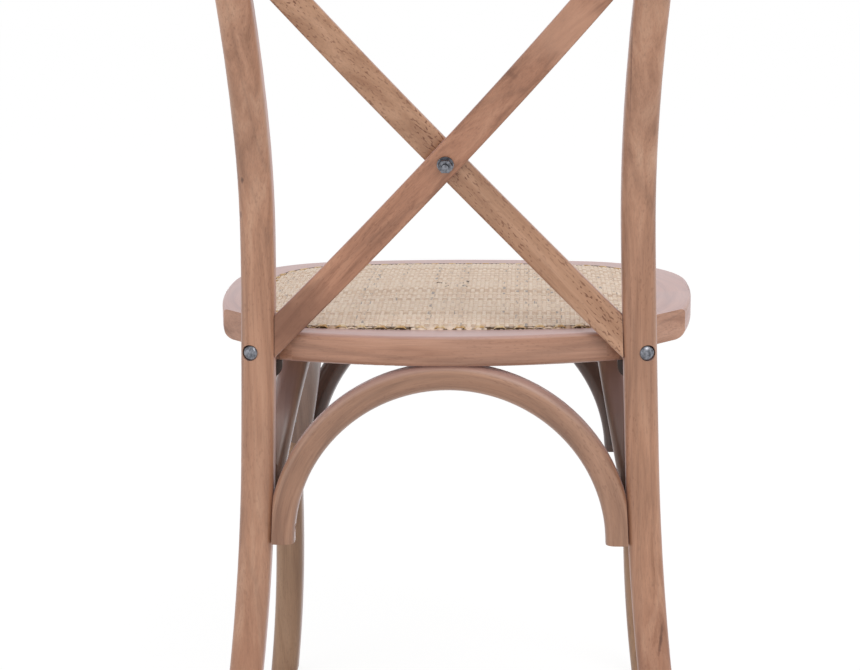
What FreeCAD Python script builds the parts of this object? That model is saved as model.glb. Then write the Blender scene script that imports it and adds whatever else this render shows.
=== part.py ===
import FreeCAD, Part
import math
import os
from FreeCAD import Placement, Rotation, Vector
from types import SimpleNamespace

# Cross back dining chair: one steam-bent hoop forms the back and both rear legs, two bent laths cross
# inside it, a four-piece seat ring holds a crowned rattan panel, and four bentwood arches brace the legs.
# Millimetres. The origin is on the floor under the middle of the chair, +Z is up, the back is at +Y.

doc = FreeCAD.newDocument("cross_back_chair")
sheet = doc.addObject("Spreadsheet::Sheet", "sizes")

drivingSizes = [
    ("seatHeight", 470, "floor to the top of the seat ring"),
    ("ringThick", 29, "height of the seat ring"),
    ("seatDepth", 418, "seat ring, front edge to the middle of the rear face"),
    ("ringRearY", 163, "middle of the rear face of the seat ring"),
    ("seatHalfWidth", 240, "middle of the seat to its widest point"),
    ("widestBehindFront", 155, "widest point of the seat, measured from the front edge"),
    ("sideBend", 600, "outer radius of the seat sides"),
    ("cornerBend", 120, "outer radius of the front corners"),
    ("frontBend", 810, "outer radius of the front edge"),
    ("rearBend", 460, "outer radius of the rear edge"),
    ("sideRim", 43, "wood showing beside the panel"),
    ("frontRim", 38, "wood showing in front of the panel"),
    ("rearRim", 32, "wood showing behind the panel, at the middle"),
    ("panelRearBend", 900, "radius of the rear edge of the panel"),
    ("panelFrontCorner", 80, "radius of the front corners of the panel"),
    ("panelRearCorner", 45, "radius of the rear corners of the panel"),
    ("ledgeWidth", 11, "ledge under the edge of the panel"),
    ("rebateDepth", 9, "depth of the rebate that the panel lies in"),
    ("ringTopRound", 4, "rounding of the upper outer edge of the ring"),
    ("ringUnderRound", 8, "rounding of the lower outer edge of the ring"),
    ("endCutInset", 14, "slanted cut at each rear corner, outer end, inside the widest point"),
    ("endCutBehind", 135, "that end, measured forward from the rear face"),
    ("endCutTurn", 47, "slant of the cut against the rear face, degrees"),
    ("neckInset", 3, "wood in front of each post, inside the outer side of the post at the waist"),
    ("rearRailInset", 42, "end of the rear rail, inside the outer side of the post at the waist"),
    ("scarfStartBehind", 74, "scarf of the front rail, outer end, from the front edge"),
    ("scarfEndBehind", 258, "scarf of the front rail, inner end, from the front edge"),
    ("hoopWidth", 31, "hoop section seen from behind"),
    ("hoopDepth", 29, "hoop section seen from the side"),
    ("hoopRound", 9, "rounding of the edges of the hoop"),
    ("hoopSetIn", 19.5, "centre of the posts, forward of the rear face of the ring"),
    ("backHeight", 420, "top of the seat ring to the top of the hoop"),
    ("waistInset", 52, "outer side of the posts at the waist, inside the widest point of the seat"),
    ("waistRise", 143, "top of the seat ring to the waist of the hoop"),
    ("postFlare", 1900, "radius of the posts above and below the waist"),
    ("postSplay", 1.6, "slant of the posts beside the seat, degrees"),
    ("legFlareDrop", 120, "top of the seat ring down to where the rear legs start to flare"),
    ("legFlare", 2700, "radius of the flare of the rear legs"),
    ("shoulderBend", 85, "outer radius of the shoulders of the hoop"),
    ("crestBend", 500, "outer radius of the top of the hoop"),
    ("leanRise", 20, "top of the seat ring to where the back starts to lean"),
    ("leanBend", 540, "radius of the bend into the lean"),
    ("leanTurn", 17.4, "lean of the back, degrees"),
    ("sweepDrop", 30, "top of the seat ring down to where the rear legs start to sweep back"),
    ("legSweep", 1300, "radius of the sweep of the rear legs"),
    ("slatWidth", 28, "width of the crossed laths"),
    ("slatThick", 9.5, "thickness of the crossed laths"),
    ("slatRound", 2.5, "rounding of the edges of the laths"),
    ("crossRise", 162, "top of the seat ring to the crossing of the laths"),
    ("slatLowInset", 30, "lower end of a lath, inside the outer side of the post at the waist"),
    ("slatLowRise", 0, "top of the seat ring to the lower end of a lath"),
    ("slatHighInset", 38, "a point near the upper end of a lath, inside the outer side of the post"),
    ("slatHighRise", 330, "top of the seat ring to that point"),
    ("slatSetBack", 4, "laths behind the centre of the posts at their lower ends"),
    ("fitGap", 0.2, "gap at the ends of the laths"),
    ("legWidth", 30, "front legs seen from the front"),
    ("legDepth", 30, "front legs seen from the side"),
    ("legRound", 9, "rounding of the edges of the front legs"),
    ("legInset", 62.5, "inner face of a front leg under the seat, inside the widest point"),
    ("legBehindFront", 66, "centre of a front leg, from the front edge of the seat"),
    ("frontLegSplay", 0.3, "slant of the front legs, degrees"),
    ("frontLegFlareTop", 195, "height where the front legs start to flare"),
    ("frontLegFlare", 1700, "radius of the flare of the front legs"),
    ("frontSweepTop", 300, "height where the front legs start to sweep forward"),
    ("frontLegSweep", 3000, "radius of the sweep of the front legs"),
    ("tenonRadius", 10, "radius of the tenons of the front legs"),
    ("tenonLength", 19, "length of the tenons of the front legs"),
    ("archHigh", 25, "thickness of the arches in their plane"),
    ("archWide", 27, "width of the arches across their plane"),
    ("archRound", 9, "rounding of the edges of the arches"),
    ("archBite", 4.4, "depth by which the ends of the front and rear arches are cut to fit the legs"),
    ("sideArchBite", 5.5, "depth by which the ends of the side arches are cut to fit the legs"),
    ("archBedding", 1.5, "flat planed on the crown of an arch, depth"),
    ("rearArchTopIn", 16, "crown of the rear arch, forward of the rear face of the seat ring"),
    ("rearArchFootIn", 8, "ends of the rear arch, forward of the rear face of the seat ring"),
    ("frontArchTopIn", 23, "crown of the front arch, behind the front edge of the seat ring"),
    ("frontArchFootIn", 64, "ends of the front arch, behind the front edge of the seat ring"),
    ("sideArchTopIn", 87, "crown of a side arch, inside the widest point of the seat"),
    ("sideArchFootIn", 60, "ends of a side arch, inside the widest point of the seat"),
    ("bearerWidth", 46, "width of the bearers under the panel"),
    ("panelGap", 0.4, "gap round the rattan panel"),
    ("panelCrown", 9, "crown of the rattan panel above its edge"),
    ("panelLip", 1.5, "edge of the panel above the ring"),
    ("panelEdgeRound", 3, "rounding of the edge of the woven cover"),
    ("panelBoard", 6, "thickness of the board inside the woven cover"),
    ("glideHeight", 3, "thickness of the glides under the feet"),
    ("glideRadius", 10.5, "radius of the glides under the feet"),
    ("glidePinRadius", 1.5, "radius of the pin of a glide"),
    ("glidePinLength", 12, "length of the pin of a glide"),
    ("boreGap", 0.2, "clearance round a fastener, a dowel or a pin"),
    ("notchGap", 2, "gap between a post and the end of the rear rail"),
    ("boltRadius", 3, "radius of the hoop bolts"),
    ("boltLength", 65, "length of the hoop bolts under the head"),
    ("boltHeadRadius", 7.25, "radius of the domed heads of the hoop bolts"),
    ("boltHeadHigh", 4.5, "height of the domed heads of the hoop bolts"),
    ("boltDrop", 16, "top of the seat ring down to the hoop bolts"),
    ("boltTurn", 25, "hoop bolts, turned inwards from straight ahead, degrees"),
    ("boltSeat", 13.5, "centre of a post to the seat of the bolt head"),
    ("boltNutAlong", 42, "centre of a post to the barrel nut, along the bolt"),
    ("boltNutRadius", 5, "radius of the barrel nuts"),
    ("boltNutLength", 12, "length of the barrel nuts"),
    ("bracketInset", 19.5, "middle of a bracket, inside the outer side of the post at the waist"),
    ("bracketWidth", 24, "width of the angle brackets"),
    ("bracketThick", 2, "thickness of the angle brackets"),
    ("bracketDrop", 17, "bracket leaf on the post, below the ring"),
    ("bracketReach", 27, "bracket leaf under the ring, forward of the post"),
    ("bracketBend", 3, "inner radius of the bend of a bracket"),
    ("bracketScrewLength", 15, "length of the bracket screws"),
    ("screwRadius", 2, "radius of the wood screws"),
    ("screwHeadRadius", 4, "radius of the heads of the wood screws"),
    ("screwHeadDepth", 2.6, "height of the heads of the wood screws"),
    ("screwSlot", 1, "width of the cross slot in the screw heads"),
    ("screwSlotDepth", 1.4, "depth of the cross slot in the screw heads"),
    ("endScrewLength", 38, "length of the screws at the ends of the arches"),
    ("topScrewLength", 42, "length of the screws at the crowns of the arches"),
    ("endScrewRise", 13, "screws of the front and rear arches above the arch ends"),
    ("sideScrewRise", 27, "screws of the side arches above the arch ends"),
    ("sideScrewInset", 5, "screws of the side arches, inside the outer side of the post at the waist"),
    ("panelScrewLength", 24, "length of the screws that hold the panel"),
    ("panelScrewSpread", 170, "distance between the two panel screws of a bearer"),
    ("panelBoardInset", 3, "board inside the edge of the woven cover"),
    ("dowelRadius", 3.5, "radius of the dowels"),
    ("dowelLength", 28, "length of the dowels"),
    ("pinRadius", 2, "radius of the pins at the ends of the laths"),
    ("pinLength", 18, "length of the pins at the ends of the laths"),
    ("crossGap", 0.7, "gap between the laths where they cross"),
    ("crossBoltRadius", 3, "radius of the bolt at the crossing"),
    ("crossBoltEnd", 2, "bolt end standing out of its nut"),
    ("crossHeadRadius", 6.5, "radius of the head of that bolt"),
    ("crossHeadHigh", 3.4, "height of the head of that bolt"),
    ("washerRadius", 7.6, "radius of the washers at the crossing"),
    ("washerThick", 1.2, "thickness of the washers at the crossing"),
    ("crossNutAcross", 11.5, "nut at the crossing, across its flats"),
    ("crossNutHigh", 5, "height of the nut at the crossing"),
]
for row, (alias, value, note) in enumerate(drivingSizes, start=1):
    sheet.set("A%d" % row, alias)
    sheet.set("B%d" % row, str(value))
    sheet.set("C%d" % row, note)
    sheet.setAlias("B%d" % row, alias)
doc.recompute()


size = SimpleNamespace(**{alias: float(sheet.get(alias)) for alias, value, note in drivingSizes})

# Heights and lines that several pieces share
ringUnder = size.seatHeight - size.ringThick
frontY = size.ringRearY - size.seatDepth
chairHeight = size.seatHeight + size.backHeight
waistHalf = size.seatHalfWidth - size.waistInset
waistHeight = size.seatHeight + size.waistRise
legFlareTop = size.seatHeight - size.legFlareDrop
leanStart = size.seatHeight + size.leanRise
sweepTop = size.seatHeight - size.sweepDrop
crossHeight = size.seatHeight + size.crossRise
slatLowHeight = size.seatHeight + size.slatLowRise
slatHighHeight = size.seatHeight + size.slatHighRise
slatLowHalf = waistHalf - size.slatLowInset
slatHighHalf = waistHalf - size.slatHighInset
legInnerHalf = size.seatHalfWidth - size.legInset
sideArchTop = size.seatHalfWidth - size.sideArchTopIn
sideArchFoot = size.seatHalfWidth - size.sideArchFootIn
rearArchTop = size.ringRearY - size.rearArchTopIn
rearArchFoot = size.ringRearY - size.rearArchFootIn
frontArchTop = frontY + size.frontArchTopIn
frontArchFoot = frontY + size.frontArchFootIn
rearRailHalf = waistHalf - size.rearRailInset
neckHalf = waistHalf - size.neckInset
boltHeight = size.seatHeight - size.boltDrop
bracketHalf = waistHalf - size.bracketInset
sideScrewHalf = waistHalf - size.sideScrewInset
widestY = frontY + size.widestBehindFront
hoopY = size.ringRearY - size.hoopSetIn
footZ = size.glideHeight
frontLegY = frontY + size.legBehindFront
splay = math.radians(size.postSplay)
lean = math.radians(size.leanTurn)
wide = 2 * size.seatHalfWidth
high = chairHeight + size.hoopWidth * 2


def frontPlane(x, z):
    return Vector(x, 0, z)


def sidePlane(y, z):
    return Vector(0, y, z)


def floorPlane(x, y):
    return Vector(x, y, 0)


def turned(centre, radius, turn):
    return (centre[0] + radius * math.cos(turn), centre[1] + radius * math.sin(turn))


def turnOf(centre, point):
    return math.atan2(point[1] - centre[1], point[0] - centre[0])


def arc(centre, radius, start, end):
    # three points of an arc, which stand for it in an outline
    middle = (start + end) / 2
    return (turned(centre, radius, start), turned(centre, radius, middle), turned(centre, radius, end))


def mirrored(outline):
    return [tuple((-a, b) for a, b in reversed(piece)) for piece in reversed(outline)]


def reverse(outline):
    return [tuple(reversed(piece)) for piece in reversed(outline)]


def faceOf(outline, plane):
    # a piece of two points is a straight line, one of three points is an arc
    edges = []
    for piece in outline:
        points = [plane(*point) for point in piece]
        curve = Part.LineSegment(*points) if len(points) == 2 else Part.Arc(*points)
        edges.append(curve.toShape())
    return Part.Face(Part.Wire(edges))


def polygon(points, plane):
    return Part.Face(Part.makePolygon([plane(*point) for point in points + points[:1]]))


def meetingCentre(first, firstRadius, second, secondRadius, upper):
    # the point at one distance from each of two centres, on the side with the larger or smaller height
    dx, dy = second[0] - first[0], second[1] - first[1]
    apart = math.hypot(dx, dy)
    along = (apart ** 2 + firstRadius ** 2 - secondRadius ** 2) / (2 * apart)
    across = math.sqrt(firstRadius ** 2 - along ** 2)
    foot = (first[0] + along * dx / apart, first[1] + along * dy / apart)
    answers = [(foot[0] - side * across * dy / apart, foot[1] + side * across * dx / apart) for side in (1, -1)]
    return max(answers, key=lambda point: point[1]) if upper else max(answers, key=lambda point: point[0])


pieces = []


def addPiece(name, shape):
    piece = doc.addObject("Part::Feature", name)
    piece.Label = name
    piece.Shape = shape
    pieces.append(piece)
    return piece


def longEdges(shape, axes, keepFrom=None):
    # every edge but the straight ones that run square across the piece
    chosen = []
    for edge in shape.Edges:
        straight = isinstance(edge.Curve, (Part.Line, Part.LineSegment))
        if straight:
            run = edge.Vertexes[-1].Point.sub(edge.Vertexes[0].Point).normalize()
            if any(abs(run.dot(axis)) > 0.9999 for axis in axes):
                continue
        if keepFrom is not None and edge.BoundBox.ZMax < keepFrom:
            continue
        chosen.append(edge)
    return chosen


# Hoop: seen from behind it is one band from foot to foot, seen from the side it sweeps back at the feet
# and leans back above the seat. The hoop is where the two bands cross, with its long edges rounded.
waistCentre = (waistHalf + size.postFlare, waistHeight)
crestCentre = (0, chairHeight - size.crestBend)
shoulderCentre = meetingCentre(waistCentre, size.postFlare + size.shoulderBend, crestCentre,
                               size.crestBend - size.shoulderBend, upper=True)
flareStart = turned(waistCentre, size.postFlare, math.pi + splay)
flareRun = (flareStart[1] - legFlareTop) / math.cos(splay)
flareCentre = (flareStart[0] + flareRun * math.sin(splay) + size.legFlare * math.cos(splay),
               legFlareTop + size.legFlare * math.sin(splay))


def hoopContour(inset):
    # half of the hoop's outline seen from behind, from the foot to the middle of the crest
    lower = size.legFlare + inset
    upper = size.postFlare + inset
    footTurn = math.asin((flareCentre[1] - footZ) / lower)
    waistEnd = turnOf(waistCentre, shoulderCentre)
    shoulderStart = waistEnd - math.pi
    shoulderEnd = turnOf(crestCentre, shoulderCentre)
    flare = arc(flareCentre, lower, math.pi + footTurn, math.pi + splay)
    waist = arc(waistCentre, upper, math.pi + splay, waistEnd)
    shoulder = arc(shoulderCentre, size.shoulderBend - inset, shoulderStart, shoulderEnd)
    crest = arc(crestCentre, size.crestBend - inset, shoulderEnd, math.pi / 2)
    return [flare, (flare[-1], waist[0]), waist, shoulder, crest]


def bandFace(inset, thick, plane):
    # the whole band between the outline at one inset and the outline a thickness further in
    outside = hoopContour(inset)
    inside = hoopContour(inset + thick)
    rightFoot = (inside[0][0], outside[0][0])
    leftFoot = mirrored([rightFoot])[0]
    around = outside + mirrored(outside) + [leftFoot] + reverse(inside + mirrored(inside)) + [rightFoot]
    return faceOf(around, plane)


def leanedContour(offset):
    # the hoop's line seen from the side, moved back by an offset, from the foot to above the crest
    sweepCentre = (hoopY + size.legSweep, sweepTop)
    leanCentre = (hoopY + size.leanBend, leanStart)
    footTurn = math.asin((sweepTop - footZ) / (size.legSweep - offset))
    sweep = arc(sweepCentre, size.legSweep - offset, math.pi + footTurn, math.pi)
    bend = arc(leanCentre, size.leanBend - offset, math.pi, math.pi - lean)
    rise = (high - bend[-1][1]) / math.cos(lean)
    top = (bend[-1][0] + rise * math.sin(lean), high)
    return [sweep, (sweep[-1], bend[0]), bend, (bend[-1], top)]


def leanedFace(front, rear):
    before = leanedContour(front)
    behind = leanedContour(rear)
    topEdge = (behind[-1][-1], before[-1][-1])
    footEdge = (before[0][0], behind[0][0])
    return faceOf(behind + [topEdge] + reverse(before) + [footEdge], sidePlane)


def leanAt(height):
    # how far the hoop has moved back from its line beside the seat
    if height <= leanStart:
        return 0.0
    bendTop = leanStart + size.leanBend * math.sin(lean)
    if height <= bendTop:
        return size.leanBend - math.sqrt(size.leanBend ** 2 - (height - leanStart) ** 2)
    return size.leanBend * (1 - math.cos(lean)) + (height - bendTop) * math.tan(lean)


def acrossY(face):
    moved = face.copy()
    moved.translate(Vector(0, -wide, 0))
    return moved.extrude(Vector(0, 2 * wide, 0))


def acrossX(face):
    moved = face.copy()
    moved.translate(Vector(-wide, 0, 0))
    return moved.extrude(Vector(2 * wide, 0, 0))


def upFrom(face, bottom, top):
    moved = face.copy()
    moved.translate(Vector(0, 0, bottom))
    return moved.extrude(Vector(0, 0, top - bottom))


def mirroredX(shape):
    return shape.mirror(Vector(0, 0, 0), Vector(1, 0, 0))


def solid(name, kind, place=None, **rules):
    # a plain solid of the document whose sizes follow the named values
    piece = doc.addObject(kind, name)
    for key, rule in rules.items():
        piece.setExpression(key.replace("_", "."), rule)
    if place is not None:
        piece.Placement = place
    return piece


def combined(name, kind, *pieces):
    # two or more solids of the document, joined, cut or crossed
    piece = doc.addObject(kind, name)
    if kind in ("Part::Cut", "Part::Common"):
        piece.Base, piece.Tool = pieces
    else:
        piece.Shapes = list(pieces)
    doc.recompute()
    return piece


def placed(name, master, places):
    # one piece of hardware, set at each of its places
    copies = []
    for place in places:
        copy = master.Shape.copy()
        copy.Placement = place.multiply(copy.Placement)
        copies.append(copy)
    return addPiece(name, Part.makeCompound(copies))


def facing(point, direction):
    # a place whose own Z axis runs along a direction
    return Placement(Vector(*point), Rotation(Vector(0, 0, 1), Vector(*direction)))


def boreFor(radius, length, place, headRadius=0.0, headDepth=0.0):
    # the hole for a round piece that starts at its place, with a countersink where it has a head
    gap = size.boreGap
    hole = Part.makeCylinder(radius + gap, length + gap)
    if headRadius:
        hole = hole.fuse(Part.makeCone(headRadius + gap, radius + gap, headDepth + gap))
        hole = hole.fuse(Part.makeCylinder(headRadius + gap, length, Vector(0, 0, -length)))
    hole.Placement = place
    return hole


def screwBore(length, place):
    return boreFor(size.screwRadius, length, place, size.screwHeadRadius, size.screwHeadDepth)


def bothSides(point, direction):
    mirror = (-point[0], point[1], point[2]), (-direction[0], direction[1], direction[2])
    return [facing(point, direction), facing(*mirror)]


def rounded(blank, radius, axes):
    return blank.makeFillet(radius, longEdges(blank, axes))


def postOuterAt(height):
    # half width over the posts at a height under the waist
    if height >= flareStart[1]:
        across = math.sqrt(size.postFlare ** 2 - (height - waistCentre[1]) ** 2)
        return waistCentre[0] - across
    if height >= legFlareTop:
        return flareStart[0] + (flareStart[1] - height) * math.tan(splay)
    return flareCentre[0] - math.sqrt(size.legFlare ** 2 - (height - flareCentre[1]) ** 2)


def hoopBackAt(height):
    # how far the rear legs have swept back from the line of the posts
    if height >= sweepTop:
        return 0.0
    return size.legSweep - math.sqrt(size.legSweep ** 2 - (sweepTop - height) ** 2)


crossways = (Vector(1, 0, 0), Vector(0, 1, 0))
hoopBlank = acrossY(bandFace(0, size.hoopWidth, frontPlane)).common(
    acrossX(leanedFace(-size.hoopDepth / 2, size.hoopDepth / 2)))
hoopShape = rounded(hoopBlank, size.hoopRound, crossways)
postFrontY = hoopY - size.hoopDepth / 2
postHalf = postOuterAt(boltHeight) - size.hoopWidth / 2

# Wood screws, bolts, dowels and pins: each runs up its own Z axis from the underside of its head
crossSlotX = solid("cross_slot_x", "Part::Box", Length="2 * sizes.screwHeadRadius + 2", Width="sizes.screwSlot",
                   Height="sizes.screwSlotDepth + 1", Placement_Base_x="-sizes.screwHeadRadius - 1",
                   Placement_Base_y="-sizes.screwSlot / 2", Placement_Base_z="-1")
crossSlotY = solid("cross_slot_y", "Part::Box", Width="2 * sizes.screwHeadRadius + 2", Length="sizes.screwSlot",
                   Height="sizes.screwSlotDepth + 1", Placement_Base_y="-sizes.screwHeadRadius - 1",
                   Placement_Base_x="-sizes.screwSlot / 2", Placement_Base_z="-1")
crossSlot = combined("cross_slot", "Part::MultiFuse", crossSlotX, crossSlotY)


def woodScrew(name, lengthAlias):
    head = solid(name + "_head", "Part::Cone", Radius1="sizes.screwHeadRadius", Radius2="sizes.screwRadius",
                 Height="sizes.screwHeadDepth")
    shank = solid(name + "_shank", "Part::Cylinder", Radius="sizes.screwRadius", Height="sizes." + lengthAlias)
    blank = combined(name + "_blank", "Part::MultiFuse", head, shank)
    return combined(name, "Part::Cut", blank, crossSlot)


def domedBolt(name, radiusAlias, lengthRule, headRadiusAlias, headHighAlias):
    head = solid(name + "_head", "Part::Ellipsoid", Radius1="sizes." + headHighAlias,
                 Radius2="sizes." + headRadiusAlias, Radius3="sizes." + headRadiusAlias)
    head.Angle1 = -90
    head.Angle2 = 0
    shank = solid(name + "_shank", "Part::Cylinder", Radius="sizes." + radiusAlias, Height=lengthRule)
    return combined(name, "Part::MultiFuse", head, shank)


def ringed(name, outerAlias, innerAlias, heightAlias):
    disc = solid(name + "_disc", "Part::Cylinder", Radius="sizes." + outerAlias, Height="sizes." + heightAlias)
    bore = solid(name + "_bore", "Part::Cylinder", Radius="sizes." + innerAlias + " + sizes.boreGap",
                 Height="sizes." + heightAlias)
    return combined(name, "Part::Cut", disc, bore)


endScrew = woodScrew("end_screw", "endScrewLength")
topScrew = woodScrew("top_screw", "topScrewLength")
panelScrew = woodScrew("panel_screw", "panelScrewLength")
bracketScrew = woodScrew("bracket_screw", "bracketScrewLength")
hoopBolt = domedBolt("hoop_bolt", "boltRadius", "sizes.boltLength", "boltHeadRadius", "boltHeadHigh")
dowel = solid("dowel", "Part::Cylinder", Radius="sizes.dowelRadius", Height="sizes.dowelLength")
lathPin = solid("lath_pin", "Part::Cylinder", Radius="sizes.pinRadius", Height="sizes.pinLength")
glideDisc = solid("glide_disc", "Part::Cylinder", Radius="sizes.glideRadius", Height="sizes.glideHeight")
glidePin = solid("glide_pin", "Part::Cylinder", Radius="sizes.glidePinRadius",
                 Height="sizes.glideHeight + sizes.glidePinLength")
glide = combined("glide", "Part::MultiFuse", glideDisc, glidePin)
barrel = solid("barrel", "Part::Cylinder", Radius="sizes.boltNutRadius", Height="sizes.boltNutLength",
               Placement_Base_z="-sizes.boltNutLength / 2")
barrelBore = solid("barrel_bore", "Part::Cylinder", facing((0, 0, 0), (0, -1, 0)),
                   Radius="sizes.boltRadius + sizes.boreGap / 2", Height="4 * sizes.boltNutRadius",
                   Placement_Base_y="2 * sizes.boltNutRadius")
barrelNut = combined("barrel_nut", "Part::Cut", barrel, barrelBore)
washer = ringed("washer", "washerRadius", "crossBoltRadius", "washerThick")
nutPrism = solid("nut_prism", "Part::Prism", Circumradius="sizes.crossNutAcross / 2 / cos(30)",
                 Height="sizes.crossNutHigh")
nutBore = solid("nut_bore", "Part::Cylinder", Radius="sizes.crossBoltRadius + sizes.boreGap",
                Height="sizes.crossNutHigh")
crossNut = combined("cross_nut_blank", "Part::Cut", nutPrism, nutBore)
doc.recompute()


# Seat ring: one outline, moved in or out, gives the ring, the rebate and the ledge
def ringOutline(front, side, rear, frontCorner, rearCorner):
    # each of the first three is a centre and a radius, the corners are radii
    frontCentre, frontRadius = front
    sideCentre, sideRadius = side
    rearCentre, rearRadius = rear
    first = meetingCentre(frontCentre, frontRadius - frontCorner, sideCentre, sideRadius - frontCorner, False)
    last = meetingCentre(rearCentre, rearRadius - rearCorner, sideCentre, sideRadius - rearCorner, True)
    half = [
        arc(frontCentre, frontRadius, -math.pi / 2, turnOf(frontCentre, first)),
        arc(first, frontCorner, turnOf(frontCentre, first), turnOf(sideCentre, first)),
        arc(sideCentre, sideRadius, turnOf(sideCentre, first), turnOf(sideCentre, last)),
        arc(last, rearCorner, turnOf(sideCentre, last), turnOf(rearCentre, last)),
        arc(rearCentre, rearRadius, turnOf(rearCentre, last), math.pi / 2),
    ]
    return half + mirrored(half)


frontCentre = (0, frontY + size.frontBend)
sideCentre = (size.seatHalfWidth - size.sideBend, widestY)
rearCentre = (0, size.ringRearY - size.rearBend)
panelRearCentre = (0, size.ringRearY - size.rearRim - size.panelRearBend)


def panelOutline(inset):
    return ringOutline((frontCentre, size.frontBend - size.frontRim - inset),
                       (sideCentre, size.sideBend - size.sideRim - inset),
                       (panelRearCentre, size.panelRearBend - inset),
                       size.panelFrontCorner - inset, size.panelRearCorner - inset)


def sideAt(radius, y):
    return sideCentre[0] + math.sqrt(radius ** 2 - (y - sideCentre[1]) ** 2)


panelRearY = size.ringRearY - size.rearRim
rebateFloor = size.seatHeight - size.rebateDepth
outerOutline = ringOutline((frontCentre, size.frontBend), (sideCentre, size.sideBend),
                           (rearCentre, size.rearBend), size.cornerBend, size.panelRearCorner)
ringBlank = upFrom(faceOf(outerOutline, floorPlane), ringUnder, size.seatHeight)
upperEdges = [edge for edge in ringBlank.Edges if edge.BoundBox.ZMin > size.seatHeight - 1]
lowerEdges = [edge for edge in ringBlank.Edges if edge.BoundBox.ZMax < ringUnder + 1]
ringBlank = ringBlank.makeFillet(size.ringTopRound, upperEdges)
lowerEdges = [edge for edge in ringBlank.Edges if edge.BoundBox.ZMax < ringUnder + 1]
ringBlank = ringBlank.makeFillet(size.ringUnderRound, lowerEdges)
opening = upFrom(faceOf(panelOutline(size.ledgeWidth), floorPlane), ringUnder - 1, size.seatHeight + 1)
rebate = upFrom(faceOf(panelOutline(0), floorPlane), rebateFloor, size.seatHeight + 1)
cutTurn = math.radians(size.endCutTurn)
cutX, cutY = size.seatHalfWidth - size.endCutInset, size.ringRearY - size.endCutBehind
cutNeckY = cutY + (cutX - neckHalf) * math.tan(cutTurn)
cutOut = (cutX + wide, cutY - wide * math.tan(cutTurn))
notchHalf = postOuterAt(size.seatHeight) - size.hoopWidth / math.cos(splay) - size.notchGap
farY = size.ringRearY + wide
cornerCut = upFrom(polygon([cutOut, (neckHalf, cutNeckY), (neckHalf, postFrontY),
                            (notchHalf, postFrontY), (notchHalf, farY), (cutOut[0], farY)], floorPlane),
                   ringUnder - 1, size.seatHeight + 1)
ringShape = ringBlank.cut([opening, rebate, cornerCut, mirroredX(cornerCut)])

# The ring is four pieces: a rear rail, two sides and a front rail with long scarfs
scarfOuterY = frontY + size.scarfStartBehind
scarfInnerY = frontY + size.scarfEndBehind
scarfOuter = (sideAt(size.sideBend, scarfOuterY), scarfOuterY)
scarfInner = (sideAt(size.sideBend - size.sideRim, scarfInnerY), scarfInnerY)
scarfPast = (2 * scarfOuter[0] - scarfInner[0], 2 * scarfOuter[1] - scarfInner[1])
frontPart = [scarfInner, scarfPast, (scarfPast[0], frontY - wide)]
frontFace = polygon([(-x, y) for x, y in frontPart] + list(reversed(frontPart)), floorPlane)
frontBlock = upFrom(frontFace, ringUnder - 1, size.seatHeight + 1)
rearBlock = Part.makeBox(2 * rearRailHalf, wide, size.ringThick + 2,
                         Vector(-rearRailHalf, 0, ringUnder - 1))
rearShape = ringShape.common(rearBlock)
frontShape = ringShape.common(frontBlock)
sidesShape = ringShape.cut([rearBlock, frontBlock])
sideShape = max(sidesShape.Solids, key=lambda one: one.CenterOfMass.x)
bearerBox = Part.makeBox(size.bearerWidth, size.seatDepth, rebateFloor - ringUnder,
                         Vector(sideArchTop - size.bearerWidth / 2, frontY, ringUnder))
bearerFace = faceOf(panelOutline(size.ledgeWidth + size.fitGap), floorPlane)
bearerShape = bearerBox.common(upFrom(bearerFace, ringUnder, rebateFloor))

# Panel: a woven cover over a board, with an upright edge and a crowned top
coverFace = faceOf(panelOutline(size.panelGap), floorPlane)
coverTop = size.seatHeight + size.panelLip
coverBlock = upFrom(coverFace, rebateFloor, coverTop)
coverBlock = coverBlock.makeFillet(size.panelEdgeRound, [edge for edge in coverBlock.Edges
                                                         if edge.BoundBox.ZMin > coverTop - 0.5])
crownMiddle = Vector(0, (panelRearY + frontY + size.frontRim) / 2, 0)
crownWires = []
for share in (0.0, 0.2, 0.4, 0.6, 0.8, 0.95):
    wire = faceOf(panelOutline(size.panelGap + size.panelEdgeRound), floorPlane).OuterWire
    scaling = FreeCAD.Matrix()
    scaling.scale(1 - share, 1 - share, 1)
    wire.translate(crownMiddle.negative())
    wire = wire.transformGeometry(scaling)
    rise = size.panelCrown * (1 - (1 - share) ** 2.4)
    wire.translate(crownMiddle.add(Vector(0, 0, coverTop - 0.01 + rise)))
    crownWires.append(wire)
crownShape = Part.makeLoft(crownWires, True, False)
boardInset = size.panelGap + size.panelBoardInset
boardShape = upFrom(faceOf(panelOutline(boardInset), floorPlane), rebateFloor, rebateFloor + size.panelBoard)
boardRoom = upFrom(faceOf(panelOutline(boardInset - size.fitGap), floorPlane), rebateFloor - 1,
                   rebateFloor + size.panelBoard)
coverShape = coverBlock.fuse(crownShape).removeSplitter().cut(boardRoom)


# Front legs: seen from the front and from the side they are bands that flare outwards and sweep forward
frontLegTurn = math.radians(size.frontLegSplay)
legBendX = legInnerHalf + (ringUnder - size.frontLegFlareTop) * math.tan(frontLegTurn)
legFlareCentre = (legBendX + size.frontLegFlare * math.cos(frontLegTurn),
                  size.frontLegFlareTop + size.frontLegFlare * math.sin(frontLegTurn))
legSweepCentre = (frontLegY - size.frontLegSweep, size.frontSweepTop)


def legLine(outward):
    # the leg's line seen from the front, from the floor to the seat, moved outwards from its inner face
    radius = size.frontLegFlare - outward
    foot = math.asin((legFlareCentre[1] - footZ) / radius)
    flare = arc(legFlareCentre, radius, math.pi + foot, math.pi + frontLegTurn)
    top = (flare[-1][0] - (ringUnder - flare[-1][1]) * math.tan(frontLegTurn), ringUnder)
    return [flare, (flare[-1], top)]


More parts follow.
